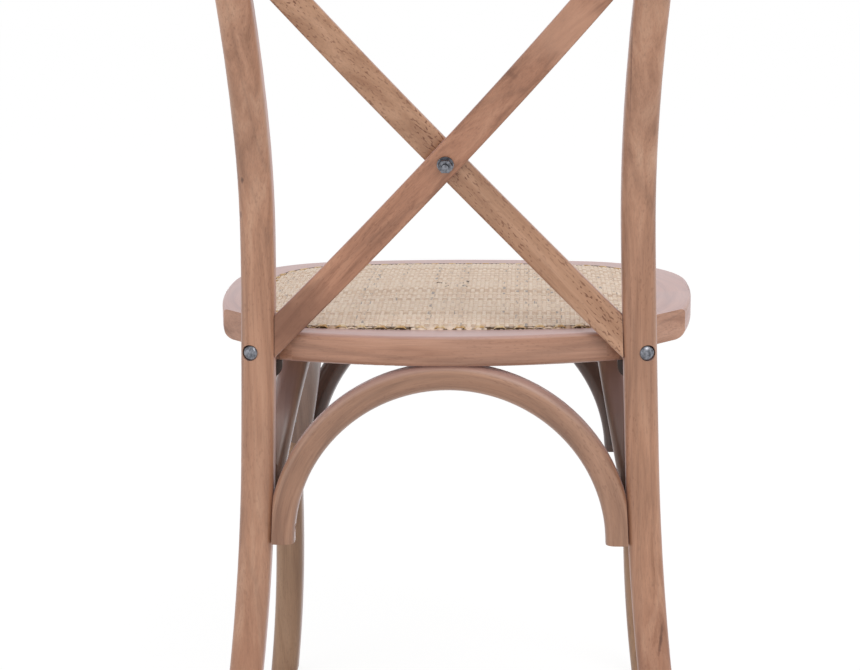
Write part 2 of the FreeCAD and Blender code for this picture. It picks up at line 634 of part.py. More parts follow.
def legSideLine(backward):
    radius = size.frontLegSweep + backward
    foot = -math.asin((size.frontSweepTop - footZ) / radius)
    sweep = arc(legSweepCentre, radius, foot, 0)
    return [sweep, (sweep[-1], (sweep[-1][0], ringUnder))]


def bandBetween(first, second, plane):
    joined = first + [(first[-1][-1], second[-1][-1])] + reverse(second) + [(second[0][0], first[0][0])]
    return faceOf(joined, plane)


legFrontFace = bandBetween(legLine(0), legLine(size.legWidth), frontPlane)
legSideFace = bandBetween(legSideLine(-size.legDepth / 2), legSideLine(size.legDepth / 2), sidePlane)
legBlank = acrossY(legFrontFace).common(acrossX(legSideFace))
legShape = rounded(legBlank, size.legRound, crossways)
legTopX = legInnerHalf + size.legWidth / math.cos(frontLegTurn) / 2
tenon = Part.makeCylinder(size.tenonRadius, size.tenonLength, Vector(legTopX, frontLegY, ringUnder))
legShape = legShape.fuse(tenon)
tenonHole = Part.makeCylinder(size.tenonRadius + size.fitGap, size.tenonLength + size.fitGap,
                              Vector(legTopX, frontLegY, ringUnder))
legFootX = legFlareCentre[0] - math.sqrt((size.frontLegFlare - size.legWidth / 2) ** 2
                                         - (legFlareCentre[1] - footZ) ** 2)
legFootY = legSweepCentre[0] + math.sqrt(size.frontLegSweep ** 2 - (size.frontSweepTop - footZ) ** 2)


# Crossed laths: each follows one long arc seen from behind and the lean of the posts seen from the side
def lathLine(height, side):
    # the lath's distance behind the line of the posts, which bends past the other lath at the crossing
    low, middle, top = slatLowHeight, crossHeight, slatHighHeight
    atMiddle = side * (size.slatThick + size.crossGap) / 2
    lowShare = (height - middle) * (height - top) / ((low - middle) * (low - top))
    middleShare = (height - low) * (height - top) / ((middle - low) * (middle - top))
    return hoopY + leanAt(height) + size.slatSetBack * lowShare + atMiddle * middleShare


def lathShape(side):
    lowPoint = (slatLowHalf * side, slatLowHeight)
    highPoint = (-slatHighHalf * side, slatHighHeight)
    bow = Part.Arc(frontPlane(*lowPoint), frontPlane(0, crossHeight), frontPlane(*highPoint)).toShape().Curve
    centre = (bow.Center.x, bow.Center.z)
    middleTurn = turnOf(centre, (0, crossHeight))
    reach = (slatHighHeight - slatLowHeight) / bow.Radius
    outer = arc(centre, bow.Radius + size.slatWidth / 2, middleTurn - reach, middleTurn + reach)
    inner = arc(centre, bow.Radius - size.slatWidth / 2, middleTurn - reach, middleTurn + reach)
    seen = bandBetween([outer], [inner], frontPlane)
    past = 2 * size.slatWidth
    span = slatHighHeight - slatLowHeight + 2 * past
    heights = [slatLowHeight - past + span * step / 8 for step in range(9)]
    sides = []
    for half in (-size.slatThick / 2, size.slatThick / 2):
        points = []
        for height in heights:
            slope = (lathLine(height + 1, side) - lathLine(height - 1, side)) / 2
            points.append(Vector(0, lathLine(height, side) + half * math.sqrt(1 + slope ** 2), height))
        curve = Part.BSplineCurve()
        curve.interpolate(points)
        sides.append(curve.toShape())
    ends = [Part.makeLine(sides[0].Vertexes[index].Point, sides[1].Vertexes[index].Point) for index in (0, -1)]
    thick = Part.Face(Part.Wire(Part.__sortEdges__(sides + ends)))
    inside = hoopContour(size.hoopWidth + size.fitGap)
    inside = inside + mirrored(inside)
    room = faceOf(inside + [(inside[-1][-1], inside[0][0])], frontPlane)
    blank = acrossY(seen.common(room)).common(acrossX(thick))
    edges = [edge for edge in blank.Edges if edge.Length > size.slatWidth * 4]
    return blank.makeFillet(size.slatRound, edges), centre, bow.Radius


rearLath, rearLathCentre, lathRadius = lathShape(1)
frontLath, frontLathCentre, lathRadius = lathShape(-1)


def lathEnds(centre, side):
    # where the lath's middle line meets the hoop below and above, and the way it runs there
    ends = []
    for upward in (-1, 1):
        step = 0.0
        turn = turnOf(centre, (0, crossHeight))
        spin = 1 if turned(centre, lathRadius, turn + 0.01)[1] > crossHeight else -1
        low, top = 0.0, 0.2
        for trial in range(30):
            step = (low + top) / 2
            x, z = turned(centre, lathRadius, turn + spin * upward * step)
            inside = abs(x) < hoopInnerAt(z)
            low, top = (step, top) if inside else (low, step)
        before = turned(centre, lathRadius, turn + spin * upward * (step - 0.005))
        ends.append(((x, lathLine(z, side), z),
                     (x - before[0], lathLine(z, side) - lathLine(before[1], side), z - before[1])))
    return ends


def hoopInnerAt(height):
    # half width inside the hoop at a height
    if height <= waistCentre[1]:
        return postOuterAt(height) - size.hoopWidth / math.cos(splay)
    for piece in hoopContour(size.hoopWidth)[2:]:
        if piece[0][1] <= height <= piece[-1][1]:
            bend = Part.Arc(*[frontPlane(*point) for point in piece]).toShape().Curve
            across = math.sqrt(max(bend.Radius ** 2 - (height - bend.Center.z) ** 2, 0.0))
            return bend.Center.x + (across if piece[1][0] > bend.Center.x else -across)
    return 0.0


lathPinPlaces = []
for centre, side in ((rearLathCentre, 1), (frontLathCentre, -1)):
    for point, run in lathEnds(centre, side):
        way = Vector(*run).normalize()
        start = Vector(*point) - way * (size.pinLength / 2)
        lathPinPlaces.append(facing(tuple(start), tuple(way)))
lathPinBores = [boreFor(size.pinRadius, size.pinLength, place) for place in lathPinPlaces]

# Bolt at the crossing: it runs square through both laths, head in front, nut behind
crossTurn = math.asin(min((crossHeight - leanStart) / size.leanBend, math.sin(lean)))
crossWay = Vector(0, math.cos(crossTurn), -math.sin(crossTurn))
crossPoint = Vector(0, hoopY + leanAt(crossHeight), crossHeight)
stack = size.slatThick + size.crossGap / 2
frontSeat = crossPoint - crossWay * (stack + size.washerThick)
crossBoltLength = 2 * stack + 2 * size.washerThick + size.crossNutHigh + size.crossBoltEnd
crossBolt = domedBolt("cross_bolt_blank", "crossBoltRadius",
                      "2 * sizes.slatThick + sizes.crossGap + 2 * sizes.washerThick + sizes.crossNutHigh"
                      " + sizes.crossBoltEnd", "crossHeadRadius", "crossHeadHigh")
crossBore = boreFor(size.crossBoltRadius, crossBoltLength, facing(tuple(frontSeat), tuple(crossWay)))


# Arches: half rings of a rounded section, tilted so that the crown meets the seat and the ends meet the legs
def archShape(bend):
    high, wideHalf, corner = size.archHigh / 2, size.archWide / 2, size.archRound
    section = Part.makePlane(size.archHigh, size.archWide, Vector(bend - high, -wideHalf, 0), Vector(0, 0, 1))
    ring = section.revolve(Vector(0, 0, 0), Vector(0, -1, 0), 180)
    flatX = [edge for edge in ring.Edges if abs(edge.CenterOfMass.y) > wideHalf - 0.01
             and edge.Length > 2 * size.archWide]
    return ring.makeFillet(corner, flatX)


def archPlace(bend, top, foot):
    # tilt of an arch and the height of its centre
    tilt = math.asin((foot - top) / bend)
    height = ringUnder + size.archBedding - size.archHigh / 2 - bend * math.cos(tilt)
    return tilt, height


archEnds = ringUnder - waistHalf + size.hoopWidth
under = Part.makeBox(4 * wide, 4 * wide, wide, Vector(-2 * wide, -2 * wide, ringUnder))
hoopRoom = acrossY(bandFace(0, size.hoopWidth + size.fitGap, frontPlane))
hoopSideRoom = acrossX(leanedFace(-size.hoopDepth / 2 - size.fitGap, size.hoopDepth))
legRoom = acrossY(bandBetween(legLine(-size.fitGap), legLine(size.legWidth), frontPlane))
legSideRoom = acrossX(bandBetween(legSideLine(-size.legDepth), legSideLine(size.legDepth / 2 + size.fitGap),
                                  sidePlane))
rearBend = postOuterAt(archEnds) - size.hoopWidth / math.cos(splay) + size.archBite - size.archHigh / 2
frontBend = legInnerHalf + (ringUnder - archEnds) * math.tan(frontLegTurn) + size.archBite - size.archHigh / 2
legBackY = frontLegY + size.legDepth / 2
archRoom = postFrontY + hoopBackAt(archEnds) - legBackY
sideArchBend = archRoom / 2 + size.sideArchBite - size.archHigh / 2
sideArchMiddle = legBackY + archRoom / 2
rearTilt, rearArchZ = archPlace(rearBend, rearArchTop, rearArchFoot)
frontTilt, frontArchZ = archPlace(frontBend, frontArchTop, frontArchFoot)
sideTilt, sideArchZ = archPlace(sideArchBend, sideArchTop, sideArchFoot)
rearArch = archShape(rearBend)
rearArch.Placement = Placement(Vector(0, rearArchFoot, rearArchZ),
                               Rotation(Vector(1, 0, 0), math.degrees(rearTilt)))
frontArch = archShape(frontBend)
frontArch.Placement = Placement(Vector(0, frontArchFoot, frontArchZ),
                                Rotation(Vector(1, 0, 0), math.degrees(frontTilt)))
sideArch = archShape(sideArchBend)
sideRotation = Rotation(Vector(0, 0, 1), -90).multiply(Rotation(Vector(1, 0, 0), math.degrees(sideTilt)))
sideArch.Placement = Placement(Vector(sideArchFoot, sideArchMiddle, sideArchZ), sideRotation)
rearArch = rearArch.cut([under, hoopRoom])
frontArch = frontArch.cut([under, legRoom, mirroredX(legRoom)])
sideArch = sideArch.cut([under, hoopSideRoom, legSideRoom])

# Screws of the arches: two at the ends and one at the crown of each


def acrossAt(bend, rise):
    return math.sqrt(bend ** 2 - rise ** 2)


rearScrewY = rearArchFoot - size.endScrewRise * math.tan(rearTilt)
frontScrewY = frontArchFoot - size.endScrewRise * math.tan(frontTilt)
halfHigh = size.archHigh / 2
rearStart = acrossAt(rearBend - halfHigh, size.endScrewRise / math.cos(rearTilt)) + size.screwHeadDepth / 2
frontStart = acrossAt(frontBend - halfHigh, size.endScrewRise / math.cos(frontTilt)) + size.screwHeadDepth / 2
sideStart = acrossAt(sideArchBend - halfHigh, size.sideScrewRise / math.cos(sideTilt)) + size.screwHeadDepth / 2
sideScrewZ = sideArchZ + size.sideScrewRise
endScrewPlaces = bothSides((rearStart, rearScrewY, rearArchZ + size.endScrewRise), (1, 0, 0))
endScrewPlaces += bothSides((frontStart, frontScrewY, frontArchZ + size.endScrewRise), (1, 0, 0))
endScrewPlaces += bothSides((sideScrewHalf, sideArchMiddle + sideStart, sideScrewZ), (0, 1, 0))
endScrewPlaces += bothSides((sideScrewHalf, sideArchMiddle - sideStart, sideScrewZ), (0, -1, 0))
crownUnder = ringUnder + size.archBedding - size.archHigh + size.screwHeadDepth / 2
topScrewPlaces = [facing((0, rearArchTop, crownUnder), (0, 0, 1)),
                  facing((0, frontArchTop, crownUnder), (0, 0, 1))]
topScrewPlaces += bothSides((sideArchTop, sideArchMiddle, crownUnder), (0, 0, 1))
endScrewBores = [screwBore(size.endScrewLength, place) for place in endScrewPlaces]
topScrewBores = [screwBore(size.topScrewLength, place) for place in topScrewPlaces]

# Hoop bolts run from the outer rear edge of each post into a barrel nut in the corner of the ring
boltTurn = math.radians(size.boltTurn)
boltWay = (-math.sin(boltTurn), -math.cos(boltTurn), 0)
boltStart = (postHalf - size.boltSeat * boltWay[0], hoopY - size.boltSeat * boltWay[1], boltHeight)
boltPlaces = bothSides(boltStart, boltWay)
boltBores = [boreFor(size.boltRadius, size.boltLength, place) for place in boltPlaces]
boltSeats = [boreFor(size.boltHeadRadius, size.hoopDepth, place) for place in
             bothSides(boltStart, (-boltWay[0], -boltWay[1], 0))]
nutPoint = (postHalf + size.boltNutAlong * boltWay[0], hoopY + size.boltNutAlong * boltWay[1], boltHeight)
nutPlaces = []
for sideways in (1, -1):
    nutPlaces.append(Placement(Vector(sideways * nutPoint[0], nutPoint[1], nutPoint[2]),
                               Rotation(Vector(0, 0, 1), -sideways * size.boltTurn)))
nutBores = [Part.makeCylinder(size.boltNutRadius + size.boreGap,
                              boltHeight + size.boltNutLength / 2 + size.boreGap - ringUnder,
                              Vector(sideways * nutPoint[0], nutPoint[1], ringUnder)) for sideways in (1, -1)]


# Angle brackets: one leaf on the front of the post, one under the corner of the ring
def leaf(length, plane, start, run):
    # a strip with one round end, from a line across the bracket
    half = size.bracketWidth / 2
    left, right = bracketHalf - half, bracketHalf + half
    bend = start + run * (length - half)
    tip = (bracketHalf, start + run * length)
    return faceOf([((left, start), (left, bend)), ((left, bend), tip, (right, bend)),
                   ((right, bend), (right, start)), ((right, start), (left, start))], plane)


downLeaf = leaf(size.bracketDrop, frontPlane, ringUnder, -1)
downLeaf.translate(Vector(0, postFrontY - size.bracketThick, 0))
downLeaf = downLeaf.extrude(Vector(0, size.bracketThick, 0))
flatLeaf = upFrom(leaf(size.bracketReach, floorPlane, postFrontY, -1), ringUnder - size.bracketThick, ringUnder)
bracket = downLeaf.fuse(flatLeaf).removeSplitter()
bendEdges = [edge for edge in bracket.Edges
             if abs(edge.CenterOfMass.y - (postFrontY - size.bracketThick)) < 0.01
             and abs(edge.CenterOfMass.z - (ringUnder - size.bracketThick)) < 0.01]
bracket = bracket.makeFillet(size.bracketBend, bendEdges)
downScrewZ = ringUnder - size.bracketDrop + size.bracketWidth / 4
flatScrewY = postFrontY - size.bracketReach + size.bracketWidth / 3
bracketScrewPlaces = bothSides((bracketHalf, postFrontY - size.bracketThick, downScrewZ), (0, 1, 0))
bracketScrewPlaces += bothSides((bracketHalf, flatScrewY, ringUnder - size.bracketThick), (0, 0, 1))
bracketBores = [screwBore(size.bracketScrewLength, place) for place in bracketScrewPlaces]

# Dowels join the pieces of the ring and carry the bearers
dowelZ = (ringUnder + rebateFloor) / 2
rearDowelY = (panelRearY + postFrontY) / 2 - size.dowelRadius / 2
bearerRearX = sideArchTop - size.bearerWidth / 2 + 2 * size.dowelRadius
dowelPlaces = []
for share in (0.3, 0.7):
    scarfY = scarfOuterY + share * (scarfInnerY - scarfOuterY)
    scarfX = scarfOuter[0] + share * (scarfInner[0] - scarfOuter[0])
    dowelPlaces += bothSides((scarfX - size.dowelLength / 2, scarfY, dowelZ), (1, 0, 0))
dowelPlaces += bothSides((rearRailHalf - size.dowelLength / 2, rearDowelY, dowelZ), (1, 0, 0))
bearerRearY = bearerShape.BoundBox.YMax - size.dowelLength / 2
bearerFrontY = bearerShape.BoundBox.YMin + size.dowelLength / 2
dowelPlaces += bothSides((bearerRearX, bearerRearY, dowelZ), (0, 1, 0))
dowelPlaces += bothSides((bearerRearX, bearerFrontY, dowelZ), (0, -1, 0))
dowelBores = []
for place in dowelPlaces:
    start = Placement(place.Base - place.Rotation.multVec(Vector(0, 0, size.boreGap)), place.Rotation)
    dowelBores.append(boreFor(size.dowelRadius, size.dowelLength + size.boreGap, start))
panelMiddleY = crownMiddle.y
panelScrewPlaces = []
for half in (-size.panelScrewSpread / 2, size.panelScrewSpread / 2):
    panelScrewPlaces += bothSides((sideArchTop, panelMiddleY + half, ringUnder), (0, 0, 1))
panelScrewBores = [screwBore(size.panelScrewLength, place) for place in panelScrewPlaces]

# Glides under the four feet
hoopFootX = flareCentre[0] - math.sqrt((size.legFlare + size.hoopWidth / 2) ** 2
                                       - (flareCentre[1] - footZ) ** 2)
hoopFootY = hoopY + hoopBackAt(footZ)
glidePlaces = bothSides((hoopFootX, hoopFootY, 0), (0, 0, 1)) + bothSides((legFootX, legFootY, 0), (0, 0, 1))
glideBores = [boreFor(size.glidePinRadius, size.glideHeight + size.glidePinLength, place)
              for place in glidePlaces]

# The finished pieces, each with the holes of what passes through it
hoopBores = boltBores + boltSeats + endScrewBores + bracketBores + glideBores + lathPinBores
ringBores = boltBores + nutBores + bracketBores + dowelBores + topScrewBores + [tenonHole, mirroredX(tenonHole)]
sideLeft = sideShape.cut(ringBores)
bearerLeft = bearerShape.cut(dowelBores + topScrewBores + panelScrewBores)
legLeft = legShape.cut(endScrewBores + glideBores)
sideArchLeft = sideArch.cut(endScrewBores + topScrewBores)
bracketLeft = bracket.cut(bracketBores)
addPiece("back_hoop", hoopShape.cut(hoopBores))
addPiece("cross_slat_rear", rearLath.cut(lathPinBores + [crossBore]))
addPiece("cross_slat_front", frontLath.cut(lathPinBores + [crossBore]))
addPiece("seat_rear_rail", rearShape.cut(ringBores))
addPiece("seat_side_rail_left", sideLeft)
addPiece("seat_side_rail_right", mirroredX(sideLeft))
addPiece("seat_front_rail", frontShape.cut(ringBores))
addPiece("seat_bearer_left", bearerLeft)
addPiece("seat_bearer_right", mirroredX(bearerLeft))
addPiece("panel_board", boardShape.cut(panelScrewBores))
addPiece("cane_panel", coverShape)
addPiece("front_leg_left", legLeft)
addPiece("front_leg_right", mirroredX(legLeft))
addPiece("rear_arch", rearArch.cut(endScrewBores + topScrewBores))
addPiece("front_arch", frontArch.cut(endScrewBores + topScrewBores))
addPiece("side_arch_left", sideArchLeft)
addPiece("side_arch_right", mirroredX(sideArchLeft))
addPiece("corner_brackets", Part.makeCompound([bracketLeft, mirroredX(bracketLeft)]))
placed("hoop_bolts", hoopBolt, boltPlaces)
placed("hoop_bolt_nuts", barrelNut, nutPlaces)
placed("bracket_screws", bracketScrew, bracketScrewPlaces)
placed("arch_end_screws", endScrew, endScrewPlaces)
placed("arch_top_screws", topScrew, topScrewPlaces)
placed("panel_screws", panelScrew, panelScrewPlaces)
placed("seat_dowels", dowel, dowelPlaces)
placed("slat_pins", lathPin, lathPinPlaces)
placed("foot_glides", glide, glidePlaces)
placed("cross_bolt", crossBolt, [facing(tuple(frontSeat), tuple(crossWay))])
rearSeat = crossPoint + crossWay * stack
placed("cross_washers", washer, [facing(tuple(frontSeat), tuple(crossWay)),
                                 facing(tuple(rearSeat), tuple(crossWay))])
placed("cross_nut", crossNut, [facing(tuple(rearSeat + crossWay * size.washerThick), tuple(crossWay))])
doc.recompute()

os.makedirs("parts", exist_ok=True)
for piece in doc.Objects:
    faults = [word for word in piece.State if word in ("Invalid", "Error")]
    if faults:
        raise RuntimeError("%s: %s" % (piece.Label, faults))
for piece in pieces:
    if piece.Shape.isNull() or not piece.Shape.isValid():
        raise RuntimeError("%s has no sound shape" % piece.Label)
    box = piece.Shape.optimalBoundingBox()
    print("%-22s %d solids  x %.1f %.1f  y %.1f %.1f  z %.1f %.1f" % (
        piece.Label, len(piece.Shape.Solids), box.XMin, box.XMax, box.YMin, box.YMax, box.ZMin, box.ZMax))
    piece.Shape.exportStep("parts/%s.step" % piece.Label)
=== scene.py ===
import math

import bpy
from mathutils import Matrix, Vector
from mathutils.bvhtree import BVHTree


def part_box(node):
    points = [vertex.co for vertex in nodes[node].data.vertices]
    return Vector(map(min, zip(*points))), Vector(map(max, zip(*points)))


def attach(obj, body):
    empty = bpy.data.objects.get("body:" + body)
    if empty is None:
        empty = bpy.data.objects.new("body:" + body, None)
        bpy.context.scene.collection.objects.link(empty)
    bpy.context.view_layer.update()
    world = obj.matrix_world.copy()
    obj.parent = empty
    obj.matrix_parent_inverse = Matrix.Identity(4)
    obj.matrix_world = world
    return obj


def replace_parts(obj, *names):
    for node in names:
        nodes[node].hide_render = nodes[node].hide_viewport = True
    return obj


# Cross back chair in stained beech with a woven rattan seat, seen from behind on a plain pale floor
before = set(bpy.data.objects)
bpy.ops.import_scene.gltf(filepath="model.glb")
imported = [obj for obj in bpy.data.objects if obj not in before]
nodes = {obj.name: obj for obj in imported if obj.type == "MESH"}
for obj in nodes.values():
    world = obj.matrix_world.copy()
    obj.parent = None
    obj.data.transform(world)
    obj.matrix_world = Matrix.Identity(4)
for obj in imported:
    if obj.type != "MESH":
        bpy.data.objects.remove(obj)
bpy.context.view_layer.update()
print("frame loaded:", len(nodes), "nodes")


def colour(code):
    # sRGB hex to the linear values that shaders take
    parts = [int(code[place:place + 2], 16) / 255 for place in (1, 3, 5)]
    linear = [part / 12.92 if part <= 0.04045 else ((part + 0.055) / 1.055) ** 2.4 for part in parts]
    return (*linear, 1.0)


def addNode(tree, kind, *inputs, sockets=None, **settings):
    # inputs in order: a node stands for its first output, None keeps the default
    node = tree.nodes.new("ShaderNode" + kind)
    for name, value in settings.items():
        setattr(node, name, value)
    for place, value in list(enumerate(inputs)) + list((sockets or {}).items()):
        if isinstance(value, bpy.types.Node):
            value = value.outputs[0]
        if isinstance(value, bpy.types.NodeSocket):
            tree.links.new(value, node.inputs[place])
        elif value is not None:
            node.inputs[place].default_value = value
    return node


def newMaterial(name):
    material = bpy.data.materials.new(name)
    material.use_nodes = True
    material.node_tree.nodes.clear()
    return material, material.node_tree


def finish(tree, shader):
    addNode(tree, "OutputMaterial", shader)


def setStops(ramp, stops):
    # a ramp's stops, each a place and a grey value or a colour
    band = ramp.color_ramp
    while len(band.elements) < len(stops):
        band.elements.new(0.5)
    for element, (place, value) in zip(band.elements, stops):
        element.position = place
        element.color = colour(value) if isinstance(value, str) else (value, value, value, 1)
    return ramp


def dress(nodeName, material):
    for slot in nodes[nodeName].material_slots:
        slot.material = material


# Where the grain of a bent piece runs: each of these gives across, across and along, in metres
def uprightGrain(tree, shift=(0.0, 0.0, 0.0)):
    place = addNode(tree, "TexCoord").outputs["Object"]
    return addNode(tree, "VectorMath", place, shift, operation="ADD")


def lathGrain(tree, turn, shift):
    place = addNode(tree, "TexCoord").outputs["Object"]
    turnedPlace = addNode(tree, "VectorRotate", place, sockets={"Angle": turn}, rotation_type="Y_AXIS")
    return addNode(tree, "VectorMath", turnedPlace, shift, operation="ADD")


def archGrain(tree, centre, flat, radius):
    # flat names the two axes of the arch's plane, the grain follows its bend
    place = addNode(tree, "TexCoord").outputs["Object"]
    moved = addNode(tree, "VectorMath", place, centre, operation="SUBTRACT")
    parts = addNode(tree, "SeparateXYZ", moved)
    first, second = parts.outputs[flat[0]], parts.outputs[flat[1]]
    depth = [parts.outputs[axis] for axis in "XYZ" if axis not in flat][0]
    turn = addNode(tree, "Math", second, first, operation="ARCTAN2")
    along = addNode(tree, "Math", turn, radius, operation="MULTIPLY")
    plane = addNode(tree, "CombineXYZ", first, second, 0.0)
    out = addNode(tree, "VectorMath", plane, operation="LENGTH")
    return addNode(tree, "CombineXYZ", out.outputs["Value"], depth, along)


hoop = {    # centres and middle radii of the bends, in metres
    "shoulderX": 0.1108,
    "shoulderZ": 0.7899,
    "shoulderRadius": 0.0695,
    "crestZ": 0.390,
    "middleRadius": 0.4845,
}


def hoopGrain(tree):
    # up the posts, round the shoulders and over the crest without a break
    place = addNode(tree, "TexCoord").outputs["Object"]
    parts = addNode(tree, "SeparateXYZ", place)
    away = addNode(tree, "Math", parts.outputs["X"], operation="ABSOLUTE")
    side = addNode(tree, "Math", parts.outputs["X"], operation="SIGN")
    height = parts.outputs["Z"]
    meet = math.atan2(hoop["shoulderZ"] - hoop["crestZ"], hoop["shoulderX"])
    out = addNode(tree, "Math", away, hoop["shoulderX"], operation="SUBTRACT")
    over = addNode(tree, "Math", height, hoop["shoulderZ"], operation="SUBTRACT")
    above = addNode(tree, "Math", over, 0.0, operation="GREATER_THAN")
    turn = addNode(tree, "Math", over, out, operation="ARCTAN2")
    crest = addNode(tree, "Math", turn, meet, operation="GREATER_THAN")
    shoulderTurn = addNode(tree, "Math", turn, meet, operation="MINIMUM")
    shoulderRun = addNode(tree, "Math", shoulderTurn, hoop["shoulderRadius"], hoop["shoulderZ"],
                          operation="MULTIPLY_ADD")
    aboveCrest = addNode(tree, "Math", height, hoop["crestZ"], operation="SUBTRACT")
    crestTurn = addNode(tree, "Math", away, aboveCrest, operation="ARCTAN2")
    crestRun = addNode(tree, "Math", math.pi / 2 - meet, crestTurn, operation="SUBTRACT")
    crestRun = addNode(tree, "Math", crestRun, hoop["middleRadius"], operation="MULTIPLY")
    upperRun = addNode(tree, "Math", crestRun, crest, shoulderRun, operation="MULTIPLY_ADD")
    run = addNode(tree, "Mix", above, sockets={2: height, 3: upperRun.outputs[0]}, data_type="FLOAT")
    length = hoop["shoulderZ"] + hoop["shoulderRadius"] * meet + hoop["middleRadius"] * (math.pi / 2 - meet)
    run = addNode(tree, "Math", length, run, operation="SUBTRACT")
    run = addNode(tree, "Math", run, side, operation="MULTIPLY")
    outPlace = addNode(tree, "CombineXYZ", out, over, 0.0)
    shoulderOut = addNode(tree, "VectorMath", outPlace, operation="LENGTH")
    across = addNode(tree, "Mix", above, sockets={2: out.outputs[0], 3: shoulderOut.outputs["Value"]},
                     data_type="FLOAT")
    return addNode(tree, "CombineXYZ", across, parts.outputs["Y"], run)


def stainedBeech(name, look, grain, spots=()):
    # Steam-bent beech, sanded and stained: straight pale and dark streaks with short dark flecks, under a
    # thin worn lacquer and a pale sheen at low angles, with a pale painted reflection on the upper faces
    material, tree = newMaterial(name)
    place = grain(tree)
    streakMap = addNode(tree, "Mapping", place, None, None, (70, 70, 3.2))    # streaks 14 mm wide, 0.3 m long
    streak = addNode(tree, "TexNoise", streakMap, sockets={"Scale": 1.0, "Detail": 5.0, "Roughness": 0.6,
                                                           "Distortion": 0.7})
    tone = setStops(addNode(tree, "ValToRGB", streak),
                    [(0.3, look["dark"]), (0.5, look["middle"]), (0.72, look["pale"])])
    ringMap = addNode(tree, "Mapping", place, None, None, (11, 11, 1.1))    # growth rings cut at a slant
    ringField = addNode(tree, "TexNoise", ringMap, sockets={"Scale": 1.0, "Detail": 1.5, "Roughness": 0.4,
                                                            "Distortion": 0.3})
    ringWave = addNode(tree, "Math", ringField, look["rings"], operation="MULTIPLY")
    ringWave = addNode(tree, "Math", ringWave, operation="SINE")
    ringLine = setStops(addNode(tree, "ValToRGB", ringWave), [(0.0, 1.0), (0.82, 0.97), (1.0, 0.80)])
    tone = addNode(tree, "MixRGB", look["ringStrength"], tone, ringLine, blend_type="MULTIPLY")
    fineMap = addNode(tree, "Mapping", place, None, None, (900, 900, 22))    # pores 1 mm apart, 45 mm long
    fine = addNode(tree, "TexNoise", fineMap, sockets={"Scale": 1.0, "Detail": 2.0, "Roughness": 0.6})
    fineTone = setStops(addNode(tree, "ValToRGB", fine), [(0.28, 0.72), (0.55, 1.0)])
    tone = addNode(tree, "MixRGB", look["pores"], tone, fineTone, blend_type="MULTIPLY")
    fleckMap = addNode(tree, "Mapping", place, None, None, (620, 620, 210))    # ray flecks 0.8 by 3 mm
    fleck = addNode(tree, "TexNoise", fleckMap, sockets={"Scale": 1.0, "Detail": 1.0, "Roughness": 0.3})
    fleckLine = setStops(addNode(tree, "ValToRGB", fleck), [(0.60, 0.0), (0.68, 1.0)])
    patchMap = addNode(tree, "Mapping", place, None, None, (40, 40, 9))
    patch = addNode(tree, "TexNoise", patchMap, sockets={"Scale": 1.0, "Detail": 2.0})
    patchArea = setStops(addNode(tree, "ValToRGB", patch), [(0.38, 0.15), (0.62, 1.0)])
    fleckArea = addNode(tree, "Math", fleckLine, patchArea, operation="MULTIPLY")
    fleckArea = addNode(tree, "Math", fleckArea, look["flecks"], operation="MULTIPLY")
    tone = addNode(tree, "MixRGB", fleckArea, tone, colour(look["fleck"]))
    cloud = addNode(tree, "TexNoise", place, sockets={"Scale": 9.0, "Detail": 2.0})    # stain taken up unevenly
    cloudTone = setStops(addNode(tree, "ValToRGB", cloud), [(0.3, 0.86), (0.7, 1.08)])
    tone = addNode(tree, "MixRGB", look["clouds"], tone, cloudTone, blend_type="MULTIPLY")
    here = addNode(tree, "TexCoord").outputs["Object"]
    for spot in spots:
        ragged = {"Scale": spot.get("wobble", 220.0), "Detail": 2.0}
        wobble = addNode(tree, "TexNoise", here, sockets=ragged)
        offset = addNode(tree, "VectorMath", here, spot["at"], operation="SUBTRACT")
        if "turn" in spot:
            offset = addNode(tree, "VectorRotate", offset, sockets={"Angle": spot["turn"]},
                             rotation_type="Y_AXIS")
        shape = addNode(tree, "VectorMath", offset, spot["reach"], operation="DIVIDE")
        away = addNode(tree, "VectorMath", shape, operation="LENGTH")
        away = addNode(tree, "Math", wobble.outputs[0], 0.7, away.outputs["Value"], operation="MULTIPLY_ADD")
        near = setStops(addNode(tree, "ValToRGB", away), [(0.55, spot["strength"]), (1.0, 0.0)])
        tone = addNode(tree, "MixRGB", near, tone, colour(spot["colour"]))
    normal = addNode(tree, "NewGeometry").outputs["Normal"]
    facing = addNode(tree, "SeparateXYZ", normal).outputs["Z"]
    upper = addNode(tree, "MapRange", facing, 0.35, 0.95, 0.0, look["wax"])    # painted reflection: upper faces mixed towards pale lavender, as if catching the bright room
    tone = addNode(tree, "MixRGB", upper, tone, colour("#D9BDBF"))
    polish = addNode(tree, "MapRange", cloud, 0.3, 0.7, look["smooth"] - 0.05, look["smooth"] + 0.07)
    bump = addNode(tree, "Bump", sockets={"Strength": 0.25, "Distance": 0.0002, "Height": fine.outputs[0]})
    finish(tree, addNode(tree, "BsdfPrincipled", sockets={
        "Base Color": tone, "Roughness": polish, "Normal": bump, "IOR": 1.5,
        "Coat Weight": look["lacquer"], "Coat Roughness": 0.3, "Coat IOR": 1.5,
        "Sheen Weight": look["film"], "Sheen Roughness": 0.35, "Sheen Tint": colour("#E2CFE0")}))
    return material


def look(pale, middle, dark, **changes):
    values = {
        "pale": pale,
        "middle": middle,
        "dark": dark,
        "fleck": "#6B3F26",
        "flecks": 0.35,
        "pores": 0.55,
        "rings": 60.0,
        "ringStrength": 0.55,
        "clouds": 0.8,
        "smooth": 0.45,
        "lacquer": 0.3,
        "film": 0.35,
        # share of the painted reflection mixed into the upper faces
        "wax": 0.42,
    }
    values.update(changes)
    return values


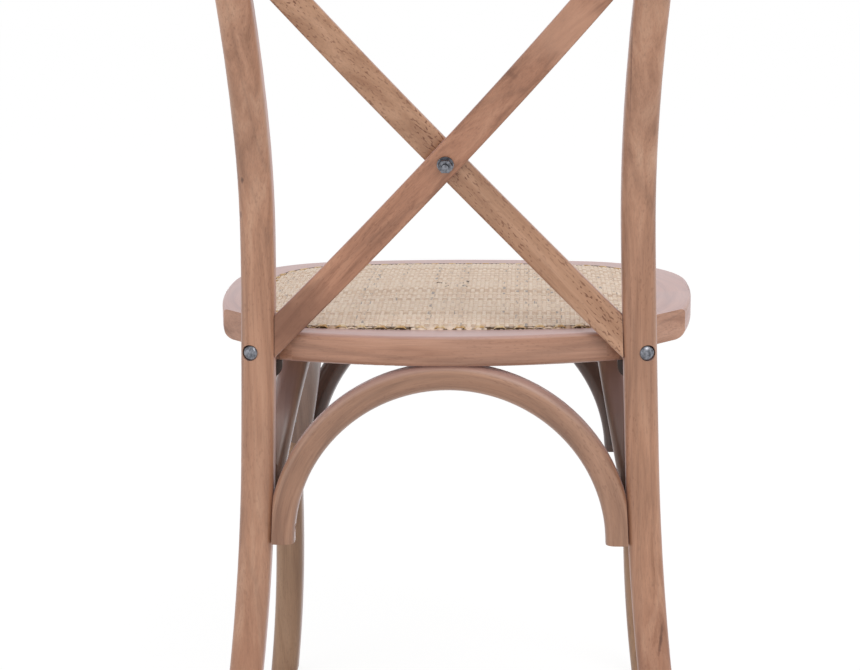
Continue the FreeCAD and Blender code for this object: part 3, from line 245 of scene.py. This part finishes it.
hoopLook = look("#C89C80", "#B6866A", "#986B50", flecks=0.25)
rearLathLook = look("#C39073", "#AF7B5F", "#875940", flecks=0.3, rings=75.0)
frontLathLook = look("#C89B7D", "#B78A6B", "#9E7052", flecks=0.95, fleck="#714328")
ringLook = look("#C69880", "#B5866D", "#986A52", flecks=0.25, ringStrength=0.8)
frontLegLook = look("#B38E70", "#A27C5E", "#856044", flecks=0.2)
archLook = look("#B78C72", "#A4795F", "#7A523B", flecks=0.3, lacquer=0.5)
# painted shade: the front arch and the side arches get darker copies of the same stained beech, as they sit in
# shade under the seat
frontArchShadedLook = look("#5F4236", "#4E3429", "#3A251E", flecks=0.2, wax=0.2)
sideArchShadedLook = look("#927565", "#7D6152", "#5F4638", flecks=0.25, lacquer=0.5, film=0.5)
innerLook = look("#CBA884", "#BC9670", "#A37C57", lacquer=0.0, film=0.0, wax=0.0, smooth=0.6)

def mark(at, reach, shade, strength, **changes):
    return {"at": at, "reach": reach, "colour": shade, "strength": strength, **changes}


hoopSpots = [    # small dark nicks, a dark streak and a line along the grain, and darker towards the feet
    mark((0.1826, 0.173, 0.6164), (0.0028, 0.03, 0.0055), "#4F3325", 0.75),
    mark((0.1864, 0.166, 0.5837), (0.003, 0.03, 0.0075), "#6B4836", 0.6),
    mark((-0.1963, 0.183, 0.187), (0.0032, 0.06, 0.026), "#47291B", 0.85, turn=0.12),
    mark((-0.1627, 0.204, 0.718), (0.0013, 0.08, 0.10), "#6A4836", 0.6),
    mark((0.20, 0.20, 0.10), (0.09, 0.2, 0.26), "#925F43", 0.4, wobble=30.0),
    mark((-0.20, 0.20, 0.10), (0.09, 0.2, 0.26), "#854F35", 0.5, wobble=30.0),
]
rearLathSpots = [    # a small knot, a darker lower end and a paler upper end
    mark((-0.058, 0.2, 0.711), (0.010, 0.05, 0.006), "#7A4F38", 0.6, turn=0.75),
    mark((0.145, 0.15, 0.487), (0.085, 0.06, 0.06), "#70452E", 0.75, wobble=40.0),
    mark((-0.101, 0.21, 0.750), (0.09, 0.06, 0.07), "#CE9C80", 0.5, wobble=40.0),
]


# The course of the grain in each piece; the shifts keep two pieces from showing the same streaks
def rearLathGrain(tree):
    return lathGrain(tree, math.radians(42), (0.3, 0.0, 0.2))


def frontLathGrain(tree):
    return lathGrain(tree, math.radians(-42), (0.9, 0.3, 0.6))


def ringGrain(tree):
    return archGrain(tree, (0.0, -0.06, 0.456), "XY", 0.21)


def rearRailGrain(tree):
    return archGrain(tree, (0.0, -0.297, 0.456), "XY", 0.45)


def leftLegGrain(tree):
    return uprightGrain(tree, (0.4, 0.1, 0.0))


def rightLegGrain(tree):
    return uprightGrain(tree, (0.8, 0.5, 0.3))


def rearArchGrain(tree):
    return archGrain(tree, (0.0, 0.155, 0.272), "XZ", 0.1585)


def frontArchGrain(tree):
    return archGrain(tree, (0.0, -0.199, 0.275), "XZ", 0.159)


def sideArchGrain(tree):
    return archGrain(tree, (0.0, -0.0215, 0.2765), "YZ", 0.1535)


dress("back_hoop", stainedBeech("stainedBeechHoop", hoopLook, hoopGrain, hoopSpots))
dress("cross_slat_rear", stainedBeech("stainedBeechRearLath", rearLathLook, rearLathGrain, rearLathSpots))
dress("cross_slat_front", stainedBeech("stainedBeechFrontLath", frontLathLook, frontLathGrain))
dress("seat_rear_rail", stainedBeech("stainedBeechRearRail", ringLook, rearRailGrain))
ringBeech = stainedBeech("stainedBeechSeatRing", ringLook, ringGrain)
for piece in ("seat_side_rail_left", "seat_side_rail_right", "seat_front_rail"):
    dress(piece, ringBeech)
dress("front_leg_left", stainedBeech("stainedBeechLegLeft", frontLegLook, leftLegGrain))
dress("front_leg_right", stainedBeech("stainedBeechLegRight", frontLegLook, rightLegGrain))
dress("rear_arch", stainedBeech("stainedBeechRearArch", archLook, rearArchGrain))
dress("front_arch", stainedBeech("stainedBeechFrontArchShaded", frontArchShadedLook, frontArchGrain))
sideArchShadedBeech = stainedBeech("stainedBeechSideArchShaded", sideArchShadedLook, sideArchGrain)
dress("side_arch_left", sideArchShadedBeech)
dress("side_arch_right", sideArchShadedBeech)
bareBeech = stainedBeech("bareBeechInside", innerLook, uprightGrain)
for piece in ("seat_bearer_left", "seat_bearer_right", "panel_board", "seat_dowels", "slat_pins"):
    dress(piece, bareBeech)
print("wood dressed")


# Fittings
def platedSteel(name, shade, rough, grime):
    # Turned or pressed steel with a dark zinc coat: a soft dull gleam, with darker blotches
    material, tree = newMaterial(name)
    place = addNode(tree, "TexCoord").outputs["Object"]
    blotch = addNode(tree, "TexNoise", place, sockets={"Scale": 350.0, "Detail": 3.0})    # blotches 3 mm wide
    tone = setStops(addNode(tree, "ValToRGB", blotch), [(0.35, grime), (0.65, shade)])
    polish = addNode(tree, "MapRange", blotch, 0.3, 0.7, rough + 0.12, rough - 0.06)
    bump = addNode(tree, "Bump", sockets={"Strength": 0.15, "Distance": 0.0001, "Height": blotch.outputs[0]})
    finish(tree, addNode(tree, "BsdfPrincipled", sockets={
        "Base Color": tone, "Metallic": 1.0, "Roughness": polish, "Normal": bump}))
    return material


darkZinc = platedSteel("darkZincSteel", "#8E9097", 0.34, "#595B61")
brightZinc = platedSteel("brightZincSteel", "#A8A8A4", 0.35, "#77756F")
for piece in ("hoop_bolts", "cross_bolt", "cross_washers", "cross_nut"):
    dress(piece, darkZinc)
for piece in ("hoop_bolt_nuts", "bracket_screws", "arch_end_screws", "arch_top_screws", "panel_screws"):
    dress(piece, brightZinc)


def moulded(name, shade, rough, scale):
    # Enamel on pressed steel, or moulded nylon: an even dark skin with a faint grain
    material, tree = newMaterial(name)
    place = addNode(tree, "TexCoord").outputs["Object"]
    grit = addNode(tree, "TexNoise", place, sockets={"Scale": scale, "Detail": 2.0})
    polish = addNode(tree, "MapRange", grit, 0.3, 0.7, rough - 0.05, rough + 0.1)
    bump = addNode(tree, "Bump", sockets={"Strength": 0.2, "Distance": 0.0001, "Height": grit.outputs[0]})
    finish(tree, addNode(tree, "BsdfPrincipled", sockets={
        "Base Color": colour(shade), "Roughness": polish, "Normal": bump, "IOR": 1.5}))
    return material


dress("corner_brackets", moulded("darkEnamelBracket", "#3B2F2A", 0.45, 900.0))
dress("foot_glides", moulded("blackNylonGlide", "#2A2622", 0.55, 1200.0))
print("fittings dressed")

# Woven rattan seat: narrow strands run front to back over and under pairs of flat strands that run across
weave = {
    "warpPitch": 0.0044,    # narrow strands, side to side
    "warpWidth": 0.0038,
    "rowPitch": 0.0132,     # a row of the cross strands, front to back
    "perRow": 2,
    "rise": 0.00050,        # how far a strand rises over another
    "thick": 0.00075,
    "sunk": 0.00110,        # the backing under the strands
    "clear": 0.0002,        # lowest strands above the panel's form
    "tuck": 0.0016,         # ends of the strands, turned down over the edge
    "bindingWidth": 0.0058,
    "bindingPitch": 0.0092,
    "bindingLift": 0.0004,
}
panel = nodes["cane_panel"]
panelTree = BVHTree.FromPolygons([vertex.co.copy() for vertex in panel.data.vertices],
                                 [tuple(face.vertices) for face in panel.data.polygons])
panelLow, panelHigh = [Vector(corner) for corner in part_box("cane_panel")]
panelMiddle = (panelLow + panelHigh) / 2


def onPanel(x, y):
    # the point of the panel's upper side at a place, and the way that side faces
    hit, normal, face, distance = panelTree.ray_cast(Vector((x, y, panelHigh.z + 0.05)), Vector((0, 0, -1)))
    if hit is None or hit.z < panelLow.z + 0.004:
        return None
    return hit, normal if normal.z > 0 else -normal


def edgeFrom(start, way):
    # how far the panel reaches from a point along a way, to a tenth of a millimetre
    low, high = 0.0, 0.5
    for trial in range(14):
        middle = (low + high) / 2
        spot = start + way * middle
        low, high = (middle, high) if onPanel(spot.x, spot.y) else (low, middle)
    return low


def layStrand(points, along, width, thick, vertices, faces):
    # a flat strand with a slightly domed top along points, each a place and an upward normal
    section = [(-0.5, -1.0), (-0.5, -0.35), (-0.2, 0.0), (0.2, 0.0), (0.5, -0.35), (0.5, -1.0)]
    first = len(vertices)
    for spot, up in points:
        across = along.cross(up).normalized()
        for out, down in section:
            vertices.append(spot + across * (out * width) + up * (down * thick))
    count = len(section)
    for row in range(len(points) - 1):
        for column in range(count - 1):
            corner = first + row * count + column
            faces.append((corner, corner + 1, corner + count + 1, corner + count))


def strandMesh(name, vertices, faces, material):
    mesh = bpy.data.meshes.new(name)
    mesh.from_pydata([tuple(vertex) for vertex in vertices], [], faces)
    mesh.validate()
    for face in mesh.polygons:
        face.use_smooth = True
    mesh.materials.append(material)
    piece = bpy.data.objects.new(name, mesh)
    bpy.context.scene.collection.objects.link(piece)
    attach(piece, "root")
    return piece


def square(value):
    # a wave with flat tops
    return max(-1.0, min(1.0, 1.9 * value))


def strandPath(start, way, low, high, step, lift):
    # follows the panel, and turns down over its edge at both ends
    points = []
    count = max(2, round((high - low) / step))
    for place in range(count + 1):
        distance = low + (high - low) * place / count
        spot = start + way * distance
        found = onPanel(spot.x, spot.y)
        if found is None:
            continue
        hit, normal = found
        ends = min(distance - low, high - distance)
        points.append((hit + normal * (lift(spot) + weave["clear"]), normal))
        if ends < 1e-6:
            outward = way if distance > (low + high) / 2 else -way
            normal = (outward * 0.9 + Vector((0, 0, 0.44))).normalized()
            tail = hit + outward * weave["clear"] - Vector((0, 0, weave["tuck"]))
            points.insert(0, (tail, normal)) if outward == -way else points.append((tail, normal))
    return points


def caneMaterial(name, pitch, axis, stops, rough):
    # Split rattan skin: smooth, pale and slightly glossy, each strand with a shade of its own
    material, tree = newMaterial(name)
    place = addNode(tree, "TexCoord").outputs["Object"]
    parts = addNode(tree, "SeparateXYZ", place)
    number = addNode(tree, "Math", parts.outputs[axis], 1 / pitch, operation="MULTIPLY")
    number = addNode(tree, "Math", number, operation="FLOOR")
    chance = addNode(tree, "TexWhiteNoise", sockets={"W": number}, noise_dimensions="1D")
    drift = (60, 340, 1) if axis == "Y" else (340, 60, 1)    # shades change every 10 to 20 mm along a strand
    driftMap = addNode(tree, "Mapping", place, None, None, drift)
    change = addNode(tree, "TexNoise", driftMap, sockets={"Scale": 1.0, "Detail": 3.0})
    change = addNode(tree, "MapRange", change, 0.3, 0.7, -0.3, 0.3)
    mixed = addNode(tree, "MapRange", chance.outputs["Value"], 0.0, 1.0, 0.12, 0.88)
    mixed = addNode(tree, "Math", mixed, change, operation="ADD")
    tone = setStops(addNode(tree, "ValToRGB", mixed), stops)
    fibre = addNode(tree, "TexNoise", place, sockets={"Scale": 900.0, "Detail": 2.0})
    fibreTone = setStops(addNode(tree, "ValToRGB", fibre), [(0.3, 0.86), (0.6, 1.0)])
    tone = addNode(tree, "MixRGB", 0.8, tone, fibreTone, blend_type="MULTIPLY")
    bump = addNode(tree, "Bump", sockets={"Strength": 0.2, "Distance": 0.0001, "Height": fibre.outputs[0]})
    finish(tree, addNode(tree, "BsdfPrincipled", sockets={
        "Base Color": tone, "Roughness": rough, "Normal": bump, "IOR": 1.5}))
    return material


warpCane = caneMaterial("splitRattanWarp", weave["warpPitch"], "X",
                        [(0.0, "#A3968E"), (0.05, "#D3BBA6"), (0.3, "#E6CDB6"), (0.7, "#F0DCC8"),
                         (1.0, "#DDBFA6")], 0.45)
weftCane = caneMaterial("splitRattanWeft", weave["rowPitch"] / weave["perRow"], "Y",
                        [(0.0, "#CDAE94"), (0.3, "#E3C8AE"), (0.7, "#F2E0CC"), (1.0, "#DFC1AA")], 0.45)
bindingCane = caneMaterial("splitRattanBinding", weave["bindingPitch"], "X",
                           [(0.0, "#B98D55"), (0.3, "#D3AC72"), (0.6, "#E2CBA4"), (1.0, "#CDA069")], 0.4)


def weaveSeat():
    step = Vector((0, 1, 0))
    vertices, faces = [], []
    columns = int((panelHigh.x - panelLow.x) / weave["warpPitch"])
    for column in range(columns + 1):
        x = panelLow.x + (column + 0.5) * weave["warpPitch"]
        middle = Vector((x, panelMiddle.y, 0))
        if onPanel(x, middle.y) is None:
            continue
        back, front = edgeFrom(middle, step), edgeFrom(middle, -step)
        sign = 1 if column % 2 else -1

        def lift(spot):
            phase = math.pi * (spot.y - panelLow.y) / weave["rowPitch"]
            return weave["rise"] * square(sign * math.sin(phase))
        points = strandPath(middle, step, -front, back, weave["rowPitch"] / 5, lift)
        layStrand(points, step, weave["warpWidth"], weave["thick"], vertices, faces)
    warp = strandMesh("seatWarp", vertices, faces, warpCane)
    step = Vector((1, 0, 0))
    vertices, faces = [], []
    pitch = weave["rowPitch"] / weave["perRow"]
    rows = int((panelHigh.y - panelLow.y) / pitch)
    for row in range(rows + 1):
        y = panelLow.y + (row + 0.5) * pitch
        middle = Vector((0, y, 0))
        if onPanel(0, y) is None:
            continue
        right, left = edgeFrom(middle, step), edgeFrom(middle, -step)
        sign = -1 if (row // weave["perRow"]) % 2 else 1

        def lift(spot):
            phase = math.pi * (spot.x - panelLow.x) / weave["warpPitch"]
            return weave["rise"] * square(sign * math.sin(phase))
        points = strandPath(middle, step, -left, right, weave["warpPitch"] / 3, lift)
        layStrand(points, step, pitch * 0.93, weave["thick"], vertices, faces)
    weft = strandMesh("seatWeft", vertices, faces, weftCane)
    return warp, weft


def bindEdge():
    # a flat strand laced round the edge of the panel, now above and now below the other strands
    outline = []
    centre = Vector((panelMiddle.x, panelMiddle.y, 0))
    for degree in range(0, 3600, 15):
        way = Vector((math.cos(math.radians(degree / 10)), math.sin(math.radians(degree / 10)), 0))
        outline.append(centre + way * (edgeFrom(centre, way) - weave["bindingWidth"] * 0.62))
    outline.append(outline[0])
    lengths = [0.0]
    for first, second in zip(outline, outline[1:]):
        lengths.append(lengths[-1] + (second - first).length)
    pieces = 2 * round(lengths[-1] / weave["bindingPitch"] / 2)
    vertices, faces, points = [], [], []
    place = 0
    total = pieces * 5
    for number in range(total + 1):
        distance = lengths[-1] * number / total
        while place < len(lengths) - 2 and lengths[place + 1] < distance:
            place += 1
        share = (distance - lengths[place]) / max(lengths[place + 1] - lengths[place], 1e-9)
        spot = outline[place].lerp(outline[place + 1], share)
        hit, normal = onPanel(spot.x, spot.y)
        lift = (weave["rise"] * 1.9) * square(math.sin(math.pi * number / 5)) + weave["bindingLift"]
        points.append((hit + normal * lift, normal, (outline[place + 1] - outline[place]).normalized()))
    for first, second in zip(points, points[1:]):
        layStrand([first[:2], second[:2]], first[2], weave["bindingWidth"], weave["thick"], vertices, faces)
    return strandMesh("seatBinding", vertices, faces, bindingCane)


def backing():
    # the woven cover's own body, just under the strands, coloured dark brown as painted shade in the small gaps
    mesh = panel.data.copy()
    mesh.name = "seatBacking"
    for vertex in mesh.vertices:
        vertex.co = vertex.co - vertex.normal * weave["sunk"]
    material, tree = newMaterial("shadedRattanBacking")    # painted shade: the shaded undersides of the strands, dull dark brown
    place = addNode(tree, "TexCoord").outputs["Object"]
    grit = addNode(tree, "TexNoise", place, sockets={"Scale": 400.0, "Detail": 2.0})
    tone = setStops(addNode(tree, "ValToRGB", grit), [(0.3, "#4A3626"), (0.7, "#6B5138")])
    finish(tree, addNode(tree, "BsdfPrincipled", sockets={"Base Color": tone, "Roughness": 0.8}))
    mesh.materials.clear()
    mesh.materials.append(material)
    piece = bpy.data.objects.new("seatBacking", mesh)
    bpy.context.scene.collection.objects.link(piece)
    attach(piece, "root")
    return piece


warp, weft = weaveSeat()
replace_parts(backing(), "cane_panel")
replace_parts(warp, "cane_panel")
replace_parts(weft, "cane_panel")
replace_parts(bindEdge(), "cane_panel")
print("seat woven:", len(warp.data.polygons) + len(weft.data.polygons), "faces")


# Floor, lamps and camera
def paleFloor():
    mesh = bpy.data.meshes.new("floor")
    reach = 14.0
    corners = [(-reach, -reach, 0), (reach, -reach, 0), (reach, reach, 0), (-reach, reach, 0)]
    mesh.from_pydata(corners, [], [(0, 1, 2, 3)])
    material, tree = newMaterial("whitePaintedFloor")    # matt white, nearly as bright as the background
    ray = addNode(tree, "LightPath")
    direct = addNode(tree, "Math", ray.outputs["Is Camera Ray"], ray.outputs["Is Glossy Ray"],
                     operation="MAXIMUM")
    share = addNode(tree, "Math", direct, 0.8, operation="MULTIPLY")
    matt = addNode(tree, "BsdfDiffuse", colour("#F4F4F4"))
    glow = addNode(tree, "Emission", (1, 1, 1, 1), 1.1)
    finish(tree, addNode(tree, "MixShader", share, matt, glow))
    mesh.materials.append(material)
    floor = bpy.data.objects.new("floor", mesh)
    bpy.context.scene.collection.objects.link(floor)


def softBox(name, place, target, size, power, shade):
    data = bpy.data.lights.new(name, "AREA")
    data.shape = "SQUARE"
    data.size = size
    data.energy = power
    data.color = colour(shade)[:3]
    lamp = bpy.data.objects.new(name, data)
    lamp.location = place
    lamp.rotation_euler = (Vector(target) - Vector(place)).to_track_quat("-Z", "Y").to_euler()
    bpy.context.scene.collection.objects.link(lamp)


light = {"world": 0.66, "key": 40.0, "fill": 10.0}
paleFloor()
softBox("keyLamp", (-1.5, 2.2, 3.0), (0, 0.1, 0.5), 2.2, light["key"], "#FFFDFC")
softBox("fillLamp", (2.6, 1.8, 1.3), (0, 0.0, 0.45), 2.0, light["fill"], "#FAFAFF")
world = bpy.data.worlds.new("paleRoom")
bpy.context.scene.world = world
world.use_nodes = True
tree = world.node_tree
tree.nodes.clear()
ray = addNode(tree, "LightPath")
seen = addNode(tree, "Math", ray.outputs["Is Camera Ray"], ray.outputs["Is Glossy Ray"], operation="MAXIMUM")
seen = addNode(tree, "Math", seen, ray.outputs["Is Transmission Ray"], operation="MAXIMUM")
level = addNode(tree, "MapRange", seen, 0.0, 1.0, light["world"], 1.0)
addNode(tree, "OutputWorld", addNode(tree, "Background", (1, 1, 1, 1), level))

view = {
    "place": (-0.07574, 1.9195, 0.846),
    "down": 12.0,
    "turn": 2.984,
    "roll": -0.621,
    "pixels": 1970.0,    # focal length, in pixels of a picture 860 wide
}
down, turn, roll = (math.radians(view[key]) for key in ("down", "turn", "roll"))
ahead = Vector((math.sin(turn) * math.cos(down), -math.cos(turn) * math.cos(down), -math.sin(down)))
level = Vector((-math.cos(turn), -math.sin(turn), 0))
upright = level.cross(ahead)
sideways = level * math.cos(roll) + upright * math.sin(roll)
upright = upright * math.cos(roll) - level * math.sin(roll)
cameraData = bpy.data.cameras.new("rearView")
cameraData.sensor_width = 36.0
cameraData.lens = view["pixels"] / 860 * 36.0
cameraData.clip_end = 60.0
camera = bpy.data.objects.new("rearView", cameraData)
camera.matrix_world = Matrix((
    (sideways.x, upright.x, -ahead.x, view["place"][0]),
    (sideways.y, upright.y, -ahead.y, view["place"][1]),
    (sideways.z, upright.z, -ahead.z, view["place"][2]),
    (0, 0, 0, 1)))
bpy.context.scene.collection.objects.link(camera)
bpy.context.scene.camera = camera
bpy.context.scene.view_settings.view_transform = "Standard"

print("scene ready")
